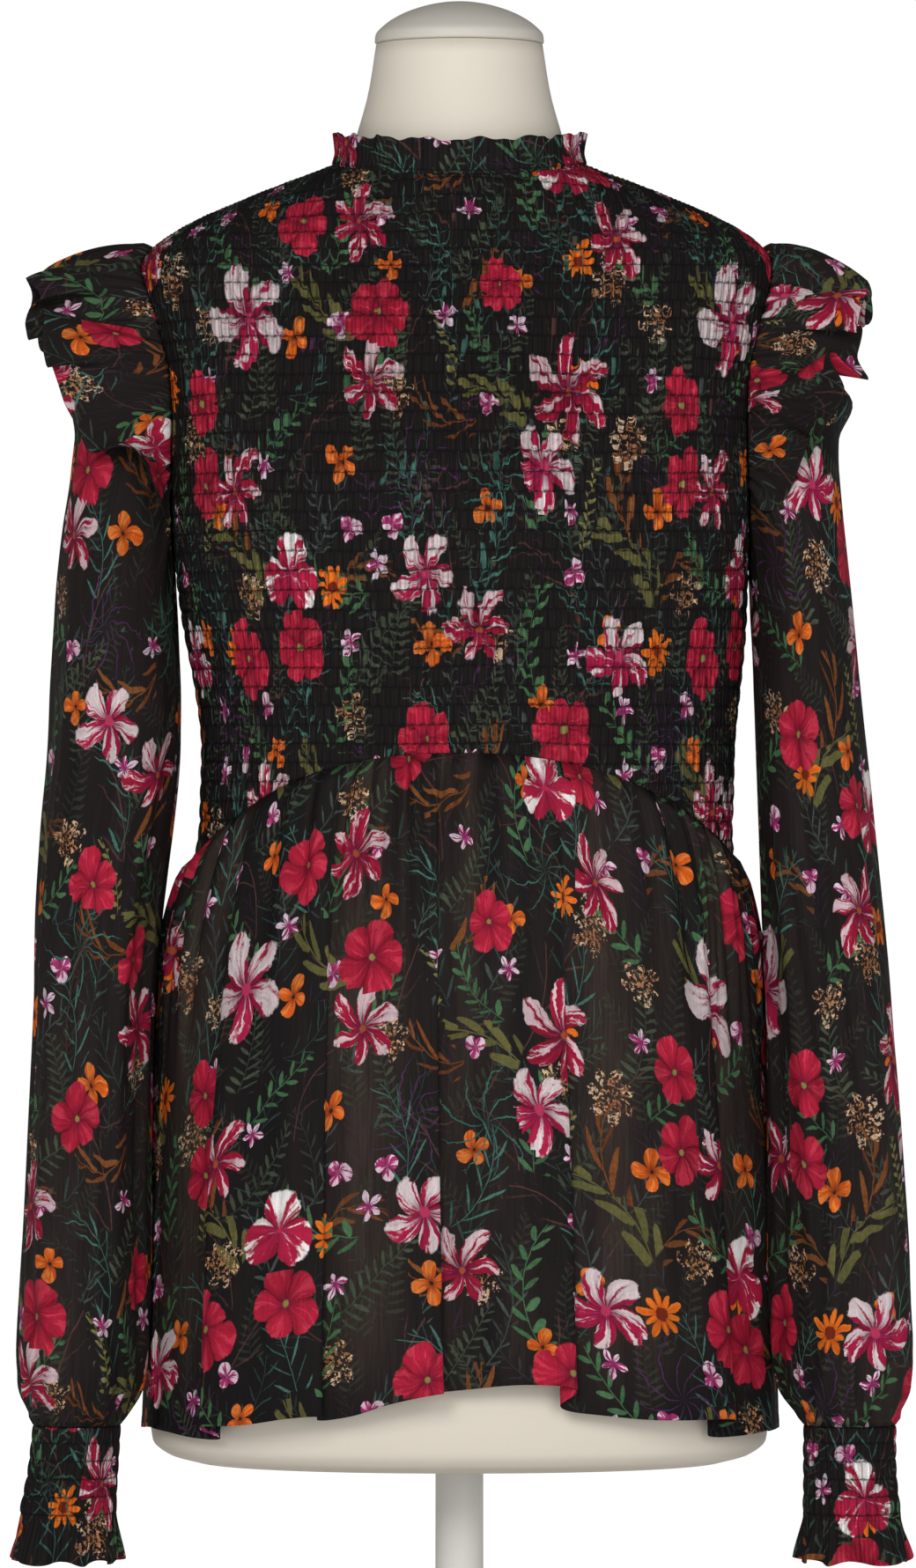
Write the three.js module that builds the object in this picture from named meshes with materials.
// A long-sleeved pull-on blouse worn by a limbless dress form on a short stand.
// The bodice, neck and cuffs are shirred with rows of elastic, the skirt part is gathered
// below the bust, and a ruffle stands over each shoulder.
// Millimetres, +Z up. The origin is on the floor under the middle of the stand,
// and the blouse faces -Y. Left and right are the wearer's, so left is +X.
import * as THREE from "three";

// Cloth walls, the room under cloth that lies on the form, and the room at a seam.
const WALL = { bodice: 1.5, collar: 1.5, skirt: 1.5, sleeve: 1.6, cuff: 1.5, ruffle: 1.4 };
const REST_GAP = 0.9;
const SEAM_GAP = 0.35;
const WAIST_GAP = 1.35;
const SLEEVE_GAP = 1.2;
const SLEEVE_TOP_GAP = 1.9;
const RUFFLE_GAP = 1.45;

// Shirring: the cloth puffs out between two rows of elastic.
const PUFF = 1.3;
const PUFF_START = 7;
const BODICE_ROWS = 28;
const BODICE_COLUMNS = 13;
const EXTRA_ROWS = [11.2, 21.25, 21.7, 21.87];

// Heights of the seams and edges.
const BUST_SEAM = { side: 398, front: 453, back: 420 };
const HEM = { side: 102, front: 106, back: 108 };
// The front hem also rises in a soft arch a little to the wearer's left of the middle.
const HEM_ARCH = { angle: 6, half: 22, height: 24 };
const COLLAR_HEIGHT = { side: 15, front: 16, back: 17 };
const ARMHOLE = { bottomRow: 11, topRow: 22, halfDepth: 36 };

// A short table: each row becomes an object with the named columns.
function table(names, rows) {
  return rows.map((row) => Object.fromEntries(names.map((name, i) => [name, row[i]])));
}

// The dress form, from its flat underside to the top of its neck.
const FORM = table(["z", "side", "front", "back", "power"], [
  [84, 132, 88, 86, 2.2],
  [88, 148, 102, 100, 2.2],
  [97, 157, 111, 109, 2.2],
  [114, 162, 116, 115, 2.2],
  [150, 163, 115, 118, 2.2],
  [210, 160, 110, 117, 2.2],
  [270, 153, 104, 109, 2.2],
  [330, 141, 96, 95, 2.2],
  [380, 129, 89, 82, 2.2],
  [420, 122, 86, 76, 2.2],
  [455, 124, 90, 78, 2.2],
  [490, 130, 101, 82, 2.3],
  [525, 137, 115, 86, 2.4],
  [560, 142, 124, 88, 2.5],
  [590, 145, 125, 89, 2.5],
  [620, 147, 117, 89, 2.5],
  [650, 150, 103, 87, 2.5],
  [680, 156.5, 88, 83, 2.5],
  [696, 160, 79, 79, 2.5],
  [705, 159, 74.5, 75.5, 2.45],
  [713, 153.5, 71.5, 72.5, 2.35],
  [721, 145, 69, 70, 2.3],
  [730, 131, 66, 67, 2.2],
  [739, 112, 63, 64, 2.1],
  [748, 90, 59.5, 61, 2],
  [755, 71, 56, 58, 2],
  [760, 61, 53.5, 55.5, 2],
  [765, 57, 51.5, 53, 2],
  [778, 53, 49, 50.5, 2],
  [798, 47.5, 46, 47, 2],
  [823, 43.5, 43, 43.5, 2],
]);

// The height of the bodice's rows of elastic, from the bust seam to the neck seam.
const ROW_HEIGHTS = table(["row", "side", "front", "back"], [
  [0, BUST_SEAM.side, BUST_SEAM.front, BUST_SEAM.back],
  [11, 552, 570, 555],
  [22, 713, 688, 688],
  [28, 758.5, 752, 759],
]);

// How far the bodice stands off the form, side, front and back.
const EASE = table(["z", "side", "front", "back"], [
  [390, 15, 12, 12],
  [430, 18, 13, 12],
  [455, 17, 11, 11],
  [500, 13, 5, 8],
  [550, 7, 1.5, 5],
  [590, 4, 0.3, 4],
  [640, 2, 0, 2],
  [690, 3, 0, 0.5],
  [704, 4.6, 0.2, 0.4],
  [713, 5.5, 0.2, 0.2],
  [722, 4, 0, 0],
  [740, 0.4, 0, 0],
  [765, 0, 0, 0],
]);

// The skirt part: its size from the bust seam (drop 0) to the hem (drop 1), without its folds.
const SKIRT = table(["drop", "side", "front", "back"], [
  [0, 0, 0, 0],
  [0.05, 6, 3, 2],
  [0.2, 15, 9, 9],
  [0.35, 19, 15, 18],
  [0.65, 23, 23, 32],
  [1, 24.5, 29, 40],
]);
const SKIRT_ROWS = [0, 0.05, 0.14, 0.3, 0.48, 0.66, 0.84, 1];

// The deep folds of the skirt at the hem: where, how far it stands out just before and
// just after the fold, and how far one layer reaches over the next. Angles run from the
// middle of the panel, positive anticlockwise from above.
const FRONT_FOLDS = table(["angle", "before", "after", "overlap"], [
  [-72, 1, -1, 3],
  [-47, -3, 6, 9],
  [-22, 8, 0, 5],
  [-3, 7, -3, 8],
  [17, 7, -2, 8],
  [51, 8, -3, 17],
  [73, 1, -1, 3],
]);
const BACK_FOLDS = table(["angle", "before", "after", "overlap"], [
  [-74, 1, -1, 3],
  [-50, 7, -3, 9],
  [-27, 6, -2, 6],
  [-6, -3, 6, 7],
  [16, 7, -2, 8],
  [43, -3, 7, 9],
  [70, 1, -1, 3],
]);
// A fold's half width in degrees is least + perMillimetre for each millimetre of overlap.
// The cloth swings back over turnBack half widths and steps in or out over step of them.
const FOLD = { least: 1, perMillimetre: 0.28, turnBack: 1.05, step: 3.2, lift: 1.25 };
const FOLD_TURNS = [-1.9, -1, -0.4, 0.4, 1, 1.9];
const SIDE_TURN = 0.06;
// The small gathers at the bust seam rise over the first drops and are gone at fade.
const GATHER = { columns: 26, height: 1.1, rise: 0.05, fade: 0.35, sideDegrees: 8 };

// The sleeve: rings that turn from the upright armhole to the level cuff seam.
// outer and inner are the ring's two sides seen from the front, with their heights.
const SLEEVE = table(["outerX", "outerZ", "innerX", "innerZ", "middleY", "halfY"], [
  [167, 714.7, 152, 553.1, 0, 36],
  [181, 697, 153, 537, -1, 38],
  [191, 662, 153.5, 520, -4, 42],
  [199, 610, 154.5, 502, -8, 47],
  [205, 550, 155, 480, -13, 51],
  [210, 480, 156, 450, -18, 53],
  [215, 400, 158.5, 396, -27, 54],
  [221, 325, 161.5, 325, -38, 54],
  [229, 250, 163, 250, -46, 53],
  [235, 185, 164, 185, -49, 52],
  [237, 150, 165, 150, -50, 49],
  [235.5, 127, 170, 127, -50, 42],
  [229, 113, 178, 113, -50, 32],
  [226.6, 106.35, 180.4, 106.35, -50, 23.6],
]);
const SLEEVE_COLUMNS = 24;
const SLEEVE_FOLDS = { count: 5, height: 2.2 };

// The cuff: five rows of elastic, then a free frill.
const CUFF = table(["z", "middleX", "halfX", "halfY"], [
  [106, 203.5, 22.4, 22.4],
  [84, 204, 22.6, 22.8],
  [60, 205, 23.9, 24.4],
  [48, 205.6, 26, 27],
  [30, 206.5, 29.2, 31],
]);
const CUFF_MIDDLE_Y = -50;
const CUFF_ROWS = 5;
const CUFF_FRILL = { rows: 3, waves: 6, height: 2 };
const CUFF_COLUMNS = 22;

// The collar: its size away from its foot, from foot (rise 0) to free edge (rise 1).
const COLLAR = table(["rise", "side", "front", "back"], [
  [0, 0, 0, 0],
  [0.4, -1.6, -0.6, -0.8],
  [1, -1.4, 1, 0.6],
]);
const COLLAR_ROWS = [0, 0.35, 0.7, 1];
const COLLAR_COLUMNS = 48;
const COLLAR_FRILL = { waves: 12, height: 1.3 };

// The shoulder ruffle, by the angle round the armhole from its top, front positive:
// its width, and how far it leans from straight outwards towards the armhole's rim.
// Over the top its free edge also droops.
const RUFFLE = table(["angle", "width", "lean"], [
  [-120, 10, 44],
  [-104, 34, 34],
  [-82, 48, 28],
  [-50, 56, 12],
  [-20, 60, 0],
  [0, 61, -5],
  [20, 60, 0],
  [50, 57, 12],
  [82, 53, 26],
  [104, 40, 31],
  [120, 13, 40],
]);
const RUFFLE_COLUMNS = 36;
const RUFFLE_ROWS = [0, 0.4, 0.75, 1];
const RUFFLE_DROOP = 18;
const RUFFLE_WAVE = { length: 37, height: 7, leftPhase: 3.4, rightPhase: 0.3 };

// The neck cap, the post under the form and the plate on the floor.
const CAP = table(["z", "half"], [
  [823.4, 42.5],
  [824.2, 44.2],
  [828, 43.8],
  [833, 39.5],
  [838.5, 31],
  [843, 19],
  [845.2, 8],
]);
const CAP_TOP = 845.8;
const POST = { radius: 12.5, bottom: 8.3, top: 83.7 };
const PLATE = { radius: 150, edge: 2, thickness: 8 };

const FORM_COLUMNS = 28;
const CAP_COLUMNS = 28;
const DEGREE = Math.PI / 180;

// A smooth curve through one column of a table, which never overshoots its rows.
function curve(rows, at, key) {
  const x = rows.map((row) => row[at]);
  const y = rows.map((row) => row[key]);
  const last = x.length - 1;
  const rise = x.slice(1).map((xi, i) => (y[i + 1] - y[i]) / (xi - x[i]));
  const slope = x.map((_, i) => {
    if (i === 0) return rise[0];
    if (i === last) return rise[last - 1];
    if (rise[i - 1] * rise[i] <= 0) return 0;
    return (2 * rise[i - 1] * rise[i]) / (rise[i - 1] + rise[i]);
  });
  return (q) => {
    const p = Math.min(Math.max(q, x[0]), x[last]);
    let i = 0;
    while (i < last - 1 && p > x[i + 1]) i++;
    const h = x[i + 1] - x[i];
    const u = (p - x[i]) / h;
    const v = 1 - u;
    const ends = y[i] * (1 + 2 * u) * v * v + y[i + 1] * (3 - 2 * u) * u * u;
    return ends + h * u * v * (slope[i] * v - slope[i + 1] * u);
  };
}

// Every named column of a table as one function that returns an object.
function curves(rows, at, keys) {
  const made = keys.map((key) => [key, curve(rows, at, key)]);
  return (q) => Object.fromEntries(made.map(([key, f]) => [key, f(q)]));
}

const formSize = curves(FORM, "z", ["side", "front", "back", "power"]);
const rowAt = curves(ROW_HEIGHTS, "row", ["side", "front", "back"]);
const easeAt = curves(EASE, "z", ["side", "front", "back"]);
const skirtFlare = curves(SKIRT, "drop", ["side", "front", "back"]);
const collarShift = curves(COLLAR, "rise", ["side", "front", "back"]);
const cuffSize = curves(CUFF, "z", ["middleX", "halfX", "halfY"]);
const ruffleSize = curves(RUFFLE, "angle", ["width", "lean"]);

const add = (a, b, scale = 1) => a.map((value, i) => value + b[i] * scale);
const mix = (a, b, share) => a + (b - a) * share;
const smooth = (u) => {
  const c = Math.min(Math.max(u, 0), 1);
  return c * c * (3 - 2 * c);
};

// A point on a rounded ring: angle 0 is +X, and 270 degrees is the front.
function ring(size, angle) {
  const c = Math.cos(angle);
  const s = Math.sin(angle);
  const depth = s < 0 ? size.front : size.back;
  const bend = 2 / (size.power ?? 2);
  return [
    size.side * Math.sign(c) * Math.abs(c) ** bend,
    depth * Math.sign(s) * Math.abs(s) ** bend,
  ];
}

// A height that differs between the sides, the front and the back.
function around(heights, angle, sharpness = 1.5) {
  const s = Math.sin(angle);
  return mix(heights.side, s < 0 ? heights.front : heights.back, Math.abs(s) ** sharpness);
}

// The ring of the worn bodice at one height, before the room under the cloth.
function wornSize(z) {
  const form = formSize(z);
  const ease = easeAt(z);
  return {
    side: form.side + ease.side,
    front: form.front + ease.front,
    back: form.back + ease.back,
    power: form.power,
  };
}

function wornPoint(angle, z) {
  return [...ring(wornSize(z), angle), z];
}

// The unit normal of a surface point(u, v) from its own neighbours.
function normalOf(point, u, v, du, dv) {
  const along = add(point(u + du, v), point(u - du, v), -1);
  const up = add(point(u, v + dv), point(u, v - dv), -1);
  const n = new THREE.Vector3(...along).cross(new THREE.Vector3(...up)).normalize();
  return n.toArray();
}

// The bodice at a distance out from the ring that it is worn on.
function bodicePoint(angle, z, out) {
  return add(wornPoint(angle, z), normalOf(wornPoint, angle, z, 0.01, 1), out);
}

// The height of a bodice row, counted from the bust seam up to the neck seam.
function rowHeight(angle, row) {
  return around(rowAt(row), angle);
}

const armholeBottom = rowHeight(0, ARMHOLE.bottomRow);
const armholeTop = rowHeight(0, ARMHOLE.topRow);
const armholeMiddle = (armholeBottom + armholeTop) / 2;
const armholeHalf = (armholeTop - armholeBottom) / 2;

// The angle from the side seam at which the ring at a height stands y off the seam.
function turnAt(z, y) {
  const size = wornSize(z);
  const depth = y < 0 ? size.front : size.back;
  return Math.sign(y) * Math.asin((Math.abs(y) / depth) ** (size.power / 2));
}

// How far round from the side seam a bodice panel starts, at the armhole or at the seam.
function panelTurn(z, isFront) {
  const up = (z - armholeMiddle) / armholeHalf;
  const y = Math.max(SEAM_GAP / 2, ARMHOLE.halfDepth * Math.sqrt(Math.max(0, 1 - up * up)));
  return Math.abs(turnAt(z, isFront ? -y : y));
}

// A point of the armhole seam, or of a loop that is a little wider, on the outside of the
// bodice. turn 0 is its top, and a quarter turn is its front.
function armholePoint(turn, wider, gap) {
  const z = armholeMiddle + (armholeHalf + wider) * Math.cos(turn);
  const y = -(ARMHOLE.halfDepth + wider) * Math.sin(turn);
  return bodicePoint(turnAt(z, y), z, REST_GAP + WALL.bodice + gap);
}

// A cloth wall between two grids of points. Each grid is a list of rows, and both have the
// same columns. A tube's columns join up, and an open panel gets its two side edges.
function wall(outer, inner, isTube) {
  const columns = outer[0].length;
  const points = [...outer.flat(), ...inner.flat()];
  const faces = [];
  const outerAt = (row, column) => row * columns + (column % columns);
  const innerAt = (row, column) => (outer.length + row) * columns + (column % columns);
  const quad = (a, b, c, d) => faces.push([a, b, c], [a, c, d]);
  const spans = isTube ? columns : columns - 1;
  for (let i = 0; i < spans; i++) {
    for (let j = 0; j + 1 < outer.length; j++) {
      quad(outerAt(j, i), outerAt(j, i + 1), outerAt(j + 1, i + 1), outerAt(j + 1, i));
    }
    for (let j = 0; j + 1 < inner.length; j++) {
      quad(innerAt(j, i), innerAt(j + 1, i), innerAt(j + 1, i + 1), innerAt(j, i + 1));
    }
    quad(outerAt(0, i), innerAt(0, i), innerAt(0, i + 1), outerAt(0, i + 1));
    const top = outer.length - 1;
    const innerTop = inner.length - 1;
    quad(outerAt(top, i), outerAt(top, i + 1), innerAt(innerTop, i + 1), innerAt(innerTop, i));
  }
  if (!isTube) {
    for (const [column, isLast] of [[0, false], [columns - 1, true]]) {
      const ends = zip(outer.length, inner.length);
      for (const [a, b, c] of ends) {
        const at = ([isOuter, row]) => (isOuter ? outerAt(row, column) : innerAt(row, column));
        faces.push(isLast ? [at(a), at(c), at(b)] : [at(a), at(b), at(c)]);
      }
    }
  }
  return solid(points, faces);
}

// Triangles between two edges with different numbers of rows.
function zip(outerRows, innerRows) {
  const made = [];
  let i = 0;
  let j = 0;
  while (i < outerRows - 1 || j < innerRows - 1) {
    const outerNext = (i + 1) / (outerRows - 1);
    const innerNext = (j + 1) / (innerRows - 1);
    if (j === innerRows - 1 || (i < outerRows - 1 && outerNext <= innerNext)) {
      made.push([[true, i], [true, i + 1], [false, j]]);
      i++;
    } else {
      made.push([[true, i], [false, j + 1], [false, j]]);
      j++;
    }
  }
  return made;
}

// A closed body through rings of points, with its two ends closed to a middle point.
function loft(rings) {
  const columns = rings[0].length;
  const points = rings.flat();
  const faces = [];
  for (let j = 0; j + 1 < rings.length; j++) {
    for (let i = 0; i < columns; i++) {
      const next = (i + 1) % columns;
      const [a, b] = [j * columns + i, j * columns + next];
      const [c, d] = [(j + 1) * columns + next, (j + 1) * columns + i];
      faces.push([a, b, c], [a, c, d]);
    }
  }
  for (const [j, isTop] of [[0, false], [rings.length - 1, true]]) {
    const middle = points.length;
    const centre = rings[j].reduce((sum, p) => add(sum, p, 1 / columns), [0, 0, 0]);
    points.push(centre);
    for (let i = 0; i < columns; i++) {
      const [a, b] = [j * columns + i, j * columns + ((i + 1) % columns)];
      faces.push(isTop ? [a, b, middle] : [b, a, middle]);
    }
  }
  return solid(points, faces);
}

// A geometry from points and faces, turned round if its faces point inwards.
function solid(points, faces) {
  let volume = 0;
  for (const [a, b, c] of faces) {
    const [p, q, r] = [a, b, c].map((i) => new THREE.Vector3(...points[i]));
    volume += p.dot(q.cross(r));
  }
  const index = faces.flatMap(([a, b, c]) => (volume > 0 ? [a, b, c] : [a, c, b]));
  const geometry = new THREE.BufferGeometry();
  geometry.setAttribute("position", new THREE.Float32BufferAttribute(points.flat(), 3));
  geometry.setIndex(index);
  geometry.computeVertexNormals();
  return geometry;
}

// A grid of points: one list for each row value, one point for each column value.
const grid = (rows, columns, point) => rows.map((row) => columns.map((column) => point(column, row)));
const steps = (count, from = 0, to = 1) =>
  Array.from({ length: count + 1 }, (_, i) => mix(from, to, i / count));
const turns = (count) => Array.from({ length: count }, (_, i) => (2 * Math.PI * i) / count);

// One bodice panel. Its outside puffs out between the rows of elastic, and its inside is plain.
function bodicePanel(isFront) {
  const start = isFront ? Math.PI : 0;
  const place = (share, row, out) => {
    const side = share < 0.5 ? start : start + Math.PI;
    const turn = panelTurn(rowHeight(side, row), isFront);
    const angle = mix(start + turn, start + Math.PI - turn, share);
    return bodicePoint(angle, rowHeight(angle, row), out);
  };
  const columns = steps(BODICE_COLUMNS);
  const rowsAt = (perRow) =>
    [...steps(BODICE_ROWS * perRow, 0, BODICE_ROWS), ...EXTRA_ROWS].sort((a, b) => a - b);
  const outer = grid(rowsAt(2), columns, (share, row) => {
    const fromSide = smooth(Math.min(share, 1 - share) * PUFF_START);
    const puff = PUFF * Math.abs(Math.sin(row * Math.PI)) * fromSide;
    return place(share, row, REST_GAP + WALL.bodice + puff);
  });
  const inner = grid(rowsAt(1), columns, (share, row) => place(share, row, REST_GAP));
  return wall(outer, inner, false);
}

// The stand-up collar: it rises from the outside of the neck seam to a frilled free edge.
function collar() {
  const footOut = REST_GAP + WALL.bodice + SEAM_GAP;
  const foot = (angle) => bodicePoint(angle, rowHeight(angle, BODICE_ROWS), footOut);
  const place = (angle, rise, out) => {
    const [x, y, z] = foot(angle);
    const shift = collarShift(rise);
    const wave = COLLAR_FRILL.height * rise * Math.cos(angle * COLLAR_FRILL.waves);
    const [dx, dy] = ring(
      { side: shift.side + wave + out, front: shift.front + wave + out, back: shift.back + wave + out },
      angle,
    );
    return [x + dx, y + dy, z + rise * around(COLLAR_HEIGHT, angle)];
  };
  const columns = turns(COLLAR_COLUMNS);
  const outer = grid(COLLAR_ROWS, columns, (angle, rise) => place(angle, rise, WALL.collar));
  const inner = grid(COLLAR_ROWS, columns, (angle, rise) => place(angle, rise, 0));
  return wall(outer, inner, true);
}

// The deep folds: how far a point of the hem swings round and stands out.
function foldAt(folds, angle) {
  let swing = 0;
  let height = 0;
  const ends = [{ angle: -90, after: 0 }, ...folds, { angle: 90, before: 0 }];
  for (let i = 0; i + 1 < ends.length; i++) {
    const [from, to] = [ends[i], ends[i + 1]];
    if (angle >= from.angle && angle <= to.angle) {
      height = mix(from.after, to.before, smooth((angle - from.angle) / (to.angle - from.angle)));
    }
  }
  for (const fold of folds) {
    const u = (angle - fold.angle) / foldWidth(fold);
    swing -= foldWidth(fold) * FOLD.turnBack * u * Math.exp((-u * u) / 2);
    const step = fold.after - fold.before;
    height += step * (smooth(u / FOLD.step + 0.5) - (u > 0 ? 1 : 0));
  }
  return { swing, height };
}

// The half width of a fold in degrees, from how far its layers overlap.
const foldWidth = (fold) => FOLD.least + fold.overlap * FOLD.perMillimetre;

// One skirt panel, front or back, from the gathered bust seam to the hem.
function skirtPanel(isFront) {
  const folds = isFront ? FRONT_FOLDS : BACK_FOLDS;
  const middle = isFront ? 1.5 * Math.PI : 0.5 * Math.PI;
  const edge = 90 - SIDE_TURN;
  const plain = steps(GATHER.columns, -edge, edge);
  const extra = folds.flatMap((fold) => FOLD_TURNS.map((u) => fold.angle + u * foldWidth(fold)));
  const isApart = (q) => extra.every((e) => Math.abs(e - q) > 1.3);
  const columns = [...plain.filter((q, i) => i === 0 || i === plain.length - 1 || isApart(q)), ...extra]
    .sort((a, b) => a - b);
  const place = (offset, drop) => {
    const fold = foldAt(folds, offset);
    const share = smooth(drop * 0.62 + 0.04);
    const swing = fold.swing * drop ** 0.55;
    const angle = middle + (offset + swing) * DEGREE;
    const top = around(BUST_SEAM, middle + offset * DEGREE) - WAIST_GAP;
    const seam = wornSize(top);
    const flare = skirtFlare(drop);
    const gather = GATHER.height * Math.cos((offset + 90) * DEGREE * GATHER.columns) *
      smooth(drop / GATHER.rise) * (1 - smooth((drop - GATHER.rise) / (GATHER.fade - GATHER.rise))) *
      smooth((90 - Math.abs(offset)) / GATHER.sideDegrees);
    const out = fold.height * share * FOLD.lift + gather + REST_GAP;
    const size = {
      side: seam.side + flare.side + out,
      front: seam.front + flare.front + out,
      back: seam.back + flare.back + out,
      power: seam.power,
    };
    const arch = isFront ? HEM_ARCH.height * Math.exp(-(((offset - HEM_ARCH.angle) / HEM_ARCH.half) ** 2)) : 0;
    return [...ring(size, angle), mix(top, around(HEM, middle + offset * DEGREE) + arch, drop)];
  };
  const outside = (offset, drop) => {
    const near = Math.min(Math.max(drop, 0.011), 0.989);
    return add(place(offset, drop), normalOf(place, offset, near, 0.25, 0.01), -WALL.skirt);
  };
  const outer = grid(SKIRT_ROWS, columns, outside);
  const inner = grid(SKIRT_ROWS, columns, place);
  return wall(outer, inner, false);
}

// The sleeve on the +X side, or its mirror image.
function sleeve(sign) {
  const rings = SLEEVE.map((row, i) => ({
    at: i,
    x: (row.outerX + row.innerX) / 2,
    halfX: (row.outerX - row.innerX) / 2,
    z: (row.outerZ + row.innerZ) / 2,
    tilt: (row.outerZ - row.innerZ) / 2,
    y: row.middleY,
    halfY: row.halfY,
  }));
  const ringAt = curves(rings, "at", ["x", "halfX", "z", "tilt", "y", "halfY"]);
  const last = rings.length - 1;
  const plain = (turn, at) => {
    const r = ringAt(at);
    const grow = SLEEVE_FOLDS.height * Math.cos(turn * SLEEVE_FOLDS.count + at * 0.25) *
      smooth((at - 3) / 4) * (1 - smooth((at - last + 1.6) / 1.4));
    return [
      r.x + (r.halfX + grow) * Math.cos(turn),
      r.y - (r.halfY + grow) * Math.sin(turn),
      r.z + r.tilt * Math.cos(turn),
    ];
  };
  const place = (turn, at) => {
    const fade = 1 - smooth(at / 3);
    const seam = armholePoint(turn, 0, SLEEVE_GAP + SLEEVE_TOP_GAP * Math.max(0, Math.cos(turn)) ** 2);
    return add(plain(turn, at), add(seam, plain(turn, 0), -1), fade);
  };
  const outside = (turn, at) => {
    const near = Math.min(Math.max(at, 0.05), last - 0.05);
    return add(place(turn, at), normalOf(place, turn, near, 0.02, 0.05), -WALL.sleeve);
  };
  const mirror = ([x, y, z]) => [sign * x, y, z];
  const columns = turns(SLEEVE_COLUMNS);
  const rows = steps(last, 0, last);
  return wall(
    grid(rows, columns, (turn, at) => mirror(outside(turn, at))),
    grid(rows, columns, (turn, at) => mirror(place(turn, at))),
    true,
  );
}

// The shirred cuff with its frill.
function cuff(sign) {
  const top = CUFF[0].z;
  const elastic = CUFF[2].z;
  const bottom = CUFF[CUFF.length - 1].z;
  const place = (turn, z, out) => {
    const size = cuffSize(z);
    const frill = smooth((elastic - z) / (elastic - bottom)) *
      CUFF_FRILL.height * Math.cos(turn * CUFF_FRILL.waves);
    const radius = frill + out;
    return [
      sign * (size.middleX + (size.halfX + radius) * Math.cos(turn)),
      CUFF_MIDDLE_Y - (size.halfY + radius) * Math.sin(turn),
      z,
    ];
  };
  const shirred = steps(CUFF_ROWS * 2, top, elastic);
  const free = steps(CUFF_FRILL.rows, elastic, bottom).slice(1);
  const columns = turns(CUFF_COLUMNS);
  const isCrest = (z) => shirred.indexOf(z) % 2 === 1;
  return wall(
    grid([...shirred, ...free], columns, (turn, z) =>
      place(turn, z, WALL.cuff + (isCrest(z) ? PUFF : 0))),
    grid([top, elastic, ...free], columns, (turn, z) => place(turn, z, 0)),
    true,
  );
}

// The ruffle over one shoulder, from behind the armhole to its front.
function ruffle(sign, phase) {
  const place = (degrees, share) => {
    const turn = degrees * DEGREE;
    const size = ruffleSize(degrees);
    const rim = [0, -Math.sin(turn), Math.cos(turn)];
    const lean = size.lean * DEGREE;
    const along = [Math.cos(lean), rim[1] * Math.sin(lean), rim[2] * Math.sin(lean)];
    const across = [-Math.sin(lean), rim[1] * Math.cos(lean), rim[2] * Math.cos(lean)];
    const foot = armholePoint(turn, WALL.sleeve + SEAM_GAP, RUFFLE_GAP);
    const wave = RUFFLE_WAVE.height * share ** 1.3 *
      (1 + Math.cos((degrees / RUFFLE_WAVE.length) * 2 * Math.PI + phase));
    const droop = RUFFLE_DROOP * Math.max(0, Math.cos(turn)) ** 2 * share ** 1.6;
    const [x, y, z] = add(add(foot, along, share * size.width), across, wave);
    return [x, y, z - droop];
  };
  const outside = (degrees, share) => {
    const near = Math.min(Math.max(share, 0.03), 0.97);
    return add(place(degrees, share), normalOf(place, degrees, near, 0.5, 0.03), WALL.ruffle);
  };
  const mirror = ([x, y, z]) => [sign * x, y, z];
  const columns = steps(RUFFLE_COLUMNS, RUFFLE[0].angle, RUFFLE[RUFFLE.length - 1].angle);
  return wall(
    grid(RUFFLE_ROWS, columns, (degrees, share) => mirror(outside(degrees, share))),
    grid(RUFFLE_ROWS, columns, (degrees, share) => mirror(place(degrees, share))),
    false,
  );
}

// The dress form's body and neck.
function dressForm() {
  return loft(FORM.map((row) => turns(FORM_COLUMNS).map((angle) => [...ring(row, angle), row.z])));
}

function neckCap() {
  const rings = CAP.map((row) =>
    turns(CAP_COLUMNS).map((angle) => [row.half * Math.cos(angle), row.half * Math.sin(angle), row.z]));
  const made = loft(rings);
  const position = made.getAttribute("position");
  position.setZ(position.count - 1, CAP_TOP);
  made.computeVertexNormals();
  return made;
}

function post() {
  const made = new THREE.CylinderGeometry(POST.radius, POST.radius, POST.top - POST.bottom, 24);
  return made.rotateX(Math.PI / 2).translate(0, 0, (POST.top + POST.bottom) / 2);
}

function floorPlate() {
  const profile = [
    [0, 0],
    [PLATE.radius, 0],
    [PLATE.radius, PLATE.thickness - PLATE.edge],
    [PLATE.radius - PLATE.edge, PLATE.thickness],
    [0, PLATE.thickness],
  ].map(([r, h]) => new THREE.Vector2(r, h));
  return new THREE.LatheGeometry(profile, 48).rotateX(Math.PI / 2);
}

const cloth = () =>
  new THREE.MeshStandardMaterial({ color: 0x161416, roughness: 0.85, metalness: 0 });
const painted = () =>
  new THREE.MeshStandardMaterial({ color: 0xe9e6df, roughness: 0.45, metalness: 0 });
const covered = () =>
  new THREE.MeshStandardMaterial({ color: 0xd8d2c6, roughness: 0.8, metalness: 0 });

const blouseOnForm = new THREE.Group();
function piece(name, geometry, material) {
  const mesh = new THREE.Mesh(geometry, material);
  mesh.name = name;
  blouseOnForm.add(mesh);
}

piece("bodice_front", bodicePanel(true), cloth());
piece("bodice_back", bodicePanel(false), cloth());
piece("collar", collar(), cloth());
piece("skirt_front", skirtPanel(true), cloth());
piece("skirt_back", skirtPanel(false), cloth());
for (const [side, sign, phase] of [
  ["right", -1, RUFFLE_WAVE.rightPhase],
  ["left", 1, RUFFLE_WAVE.leftPhase],
]) {
  piece(`sleeve_${side}`, sleeve(sign), cloth());
  piece(`cuff_${side}`, cuff(sign), cloth());
  piece(`ruffle_${side}`, ruffle(sign, phase), cloth());
}
piece("dress_form", dressForm(), covered());
piece("neck_cap", neckCap(), painted());
piece("stand_post", post(), painted());
piece("stand_plate", floorPlate(), painted());

export default blouseOnForm;
